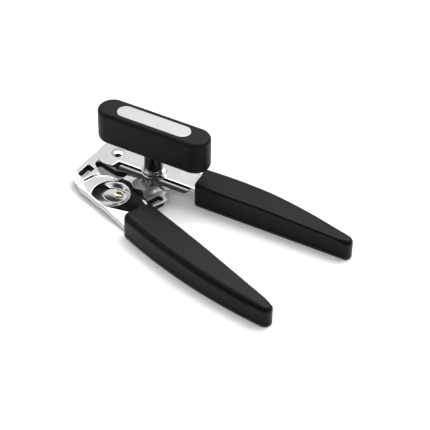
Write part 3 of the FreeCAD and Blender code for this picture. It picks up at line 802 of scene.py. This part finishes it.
def turned_parts():
    """Every part that is round about the pivot, the spindle or the cutter's pin."""
    def turn(name, at, profile, count, lower, body, slot, material, stands_for):
        make(name, *revolved(*at, profile, count), lower, body, slot, material, [stands_for])

    pivot = (0, 0)
    neck = [(0, COLLAR_HIGH, 0), (6.2, COLLAR_HIGH, 0.3), (6.2, KNOB_LOW - 2.2, 1.4),
            (7.0, KNOB_LOW - 0.6, 0.3), (7.0, KNOB_LOW + 1.5, 0.2), (0, KNOB_LOW + 1.5, 0)]
    turn("knob_neck", SPINDLE, neck, 72, False, "crank", "hard_plastic", HARD, "knob_core")
    z = COLLAR_LOW
    collar = [(SPINDLE_R, z, 0.1), (6.95, z, 0.25), (7.3, z + 0.4, 0.3), (7.3, z + 1.1, 0.3),
              (6.9, z + 1.42, 0.15), (6.45, z + 1.42, 0.1), (6.45, COLLAR_HIGH, 0.35),
              (SPINDLE_R, COLLAR_HIGH, 0.1)]
    turn("collar_ring", SPINDLE, collar, 72, False, "crank", "chromed_steel", CHROME,
         "knob_collar")
    z = ARM_TOP
    bore = SPINDLE_R + RUN
    bush = [(bore, 8.4, 0.15), (BUSH_R, 8.4, 0.2), (BUSH_R, z, 0.0), (7.7, z, 0.1),
            (7.95, z + 0.35, 0.2), (7.95, z + 0.75, 0.2), (7.55, z + 1.1, 0.25),
            (bore, z + 1.1, 0.15)]
    turn("bush_flange", SPINDLE, bush, 72, False, "upper", "chromed_steel", CHROME,
         "spindle_bush")
    foot = PIVOT_FOOT
    head = dome(4.0, ARM_TOP + 0.1, 1.5)
    head[-1] = (0, ARM_TOP + 1.6, 0)
    tail = dome(4.4, foot - 0.2, -1.1, 0.9)[::-1]
    tail[0] = (0, foot - 1.3, 0)
    rivet = tail + [(4.4, foot, 0.0), (PIVOT_R, foot, 0.0), (PIVOT_R, ARM_TOP, 0.0),
                    (4.1, ARM_TOP, 0.0)] + head
    turn("pivot_rivet_head", pivot, rivet, 56, False, "upper", "satin_steel", RIVET,
         "pivot_rivet")
    washer = [(PIVOT_R, foot, 0.1), (6.0, foot, 0.2), (6.0, foot + 0.8, 0.2),
              (PIVOT_R, foot + 0.8, 0.1)]
    turn("pivot_washer_disc", pivot, washer, 56, False, "upper", "satin_steel", SATIN,
         "pivot_washer")
    spacer = [(PIVOT_R, LOW_TOP + RUN, 0.1), (6.5, LOW_TOP + RUN, 0.25),
              (6.5, ARM_TOP - SHEET, 0.2), (PIVOT_R, ARM_TOP - SHEET, 0.1)]
    turn("pivot_spacer_disc", pivot, spacer, 56, False, "upper", "satin_steel", SATIN,
         "pivot_spacer")
    foot = CUTTER_FOOT
    head = dome(3.5, CUP_FLOOR + 0.2, 1.3, 0.9)
    head[-1] = (0, CUP_FLOOR + 1.5, 0)
    rivet = [(0, foot - 0.4, 0), (2.4, foot - 0.26, 0.6), (3.7, foot - 0.1, 0.1),
             (3.9, foot, 0.03), (CUTTER_PIN, foot, 0), (CUTTER_PIN, CUP_FLOOR, 0),
             (3.5, CUP_FLOOR, 0)] + head
    turn("cutter_rivet_head", CUTTER, rivet, 56, True, "lower", "brass", BRASS, "cutter_rivet")
    low, high = 1.8, 2.15
    washer = [(CUTTER_PIN, low, 0.05), (5.2, low, 0.1), (5.2, high, 0.1), (CUTTER_PIN, high, 0.05)]
    turn("cutter_washer_disc", CUTTER, washer, 48, True, "lower", "satin_steel", SATIN,
         "cutter_washer")
    low, high, r = 0.55, 1.75, 8.4
    middle = (low + high) / 2 + 0.2
    bore = CUTTER_PIN + RUN
    blade = [(bore, low, 0.1), (r - 1.5, low, 0.05), (r, middle - 0.05, 0.03),
             (r, middle + 0.05, 0.03), (r - 1.5, high, 0.05), (bore, high, 0.1)]
    turn("cutter_disc", CUTTER, blade, 96, True, "cutter", "wheel_steel", WHEEL, "cutter_wheel")
    low, high, r = WHEEL_TOP, 8.35, 4.4
    hub = [(SPINDLE_R, low, 0.1), (r, low, 0.15), (r, high, 0.2), (SPINDLE_R, high, 0.1)]
    turn("wheel_hub", SPINDLE, hub, 48, False, "crank", "wheel_steel", WHEEL, "wheel_spacer")


def feed_wheel():
    cx, cy = SPINDLE
    points = []
    tooth = ((0.0, 6.9), (0.12, 7.05), (0.36, 7.95), (0.46, 8.0), (0.56, 7.95), (0.82, 7.05))
    for i in range(WHEEL_TEETH):
        for share, r in tooth:
            a = 2 * math.pi * (i + share) / WHEEL_TEETH
            points.append((cx + r * math.cos(a), cy + r * math.sin(a)))

    def place(uv, depth):
        return np.stack((uv[:, 0], uv[:, 1], WHEEL_TOP - depth), 1)

    p, n, f = skin([np.array(points), circle(cx, cy, SPINDLE_R, 36)],
                   edge_rings(WHEEL_THICK, 0.16, 2), place, 1.2)
    make("toothed_wheel", p, n, f, False, "crank", "wheel_steel", WHEEL, ["feed_wheel"])


upper_arm()
lower_arm()
handle("upper", 106.4, 57.8, 0.0, False, "upper")
handle("lower", 114.5, 53.6, -30.0, True, "lower")
knob_body()
inlay()
turned_parts()
feed_wheel()

# the two nodes that are shown as they are
for node, material in (("knob_spindle", WHEEL), ("spring_washer", SATIN)):
    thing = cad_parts[node]
    thing.data.materials.clear()
    thing.data.materials.append(material)


# ------------------------------------------------------------------ studio
def studio():
    floor = bpy.data.meshes.new("floor")
    s = 3.0
    floor.from_pydata([(-s, -s, 0), (s, -s, 0), (s, s, 0), (-s, s, 0)], [], [(0, 1, 2, 3)])
    floor.materials.append(FLOOR)
    thing = bpy.data.objects.new("floor", floor)
    thing.location.z = -0.0001
    bpy.context.scene.collection.objects.link(thing)

    world = bpy.data.worlds.new("studio")
    bpy.context.scene.world = world
    world.use_nodes = True
    tree = world.node_tree
    back = tree.nodes["Background"]
    place = tree.nodes.new("ShaderNodeTexCoord")

    def share(way, low, high):
        """0 to 1 as the direction looked in turns towards way."""
        dot = tree.nodes.new("ShaderNodeVectorMath")
        dot.operation = "DOT_PRODUCT"
        dot.inputs[1].default_value = way
        tree.links.new(place.outputs["Generated"], dot.inputs[0])
        span = tree.nodes.new("ShaderNodeMapRange")
        span.interpolation_type = "SMOOTHSTEP"
        span.inputs["From Min"].default_value = low
        span.inputs["From Max"].default_value = high
        tree.links.new(dot.outputs["Value"], span.inputs["Value"])
        return span.outputs["Result"]

    # white above, behind and at both sides, dark round the camera and along the horizon
    both = tree.nodes.new("ShaderNodeMath")
    both.operation = "MULTIPLY"
    tree.links.new(share((-0.505, 0.863, 0), -0.42, -0.1), both.inputs[0])
    tree.links.new(share((0, 0, 1), 0.06, 0.36), both.inputs[1])
    level = tree.nodes.new("ShaderNodeMapRange")
    level.inputs["To Min"].default_value = 0.045
    level.inputs["To Max"].default_value = 0.95
    tree.links.new(both.outputs[0], level.inputs["Value"])
    tree.links.new(level.outputs["Result"], back.inputs["Strength"])
    back.inputs["Color"].default_value = (1.0, 1.0, 1.0, 1)

    def panel(name, at, size, power, shine=True, aim=(0, 0, 0.02)):
        light = bpy.data.lights.new(name, "AREA")
        light.shape = "RECTANGLE"
        light.size, light.size_y = size
        light.energy = power
        lamp = bpy.data.objects.new(name, light)
        lamp.location = at
        lamp.visible_glossy = shine
        way = Vector(aim) - Vector(at)
        lamp.rotation_mode = "QUATERNION"
        lamp.rotation_quaternion = way.to_track_quat("-Z", "Y")
        bpy.context.scene.collection.objects.link(lamp)

    panel("key", (0.3, 0.65, 1.0), (1.0, 0.9), 13.0)
    panel("top", (-0.4, 0.5, 1.1), (0.9, 0.9), 6.0)
    # lightens the shadows in front of the handles without showing in the chrome
    panel("fill", (0.3, -0.9, 0.9), (1.4, 1.0), 7.0, False)
    bpy.context.scene.view_settings.view_transform = "Standard"


def camera():
    data = bpy.data.cameras.new("camera")
    data.sensor_width = 36.0
    data.lens = 36.0 * 1560.0 / 430.0
    data.clip_start, data.clip_end = 0.05, 20.0
    eye = bpy.data.objects.new("camera", data)
    bpy.context.scene.collection.objects.link(eye)
    elevation, azimuth = math.radians(40.0), math.radians(30.3)
    ahead = Vector((-math.cos(elevation) * math.sin(azimuth), math.cos(elevation) * math.cos(azimuth),
                    -math.sin(elevation)))
    right = Vector((math.cos(azimuth), math.sin(azimuth), 0))
    up = right.cross(ahead)
    eye.location = Vector((0.3462, -0.6131, 0.6072))
    # the view's middle is turned a little to the right of the direction it was set out in
    swing = math.atan2(40.0, 1560.0)
    new_ahead = ahead * math.cos(swing) + right * math.sin(swing)
    new_right = right * math.cos(swing) - ahead * math.sin(swing)
    turn = Matrix((new_right, up, -new_ahead)).transposed()
    eye.rotation_mode = "QUATERNION"
    eye.rotation_quaternion = turn.to_quaternion()
    bpy.context.scene.camera = eye


studio()
camera()
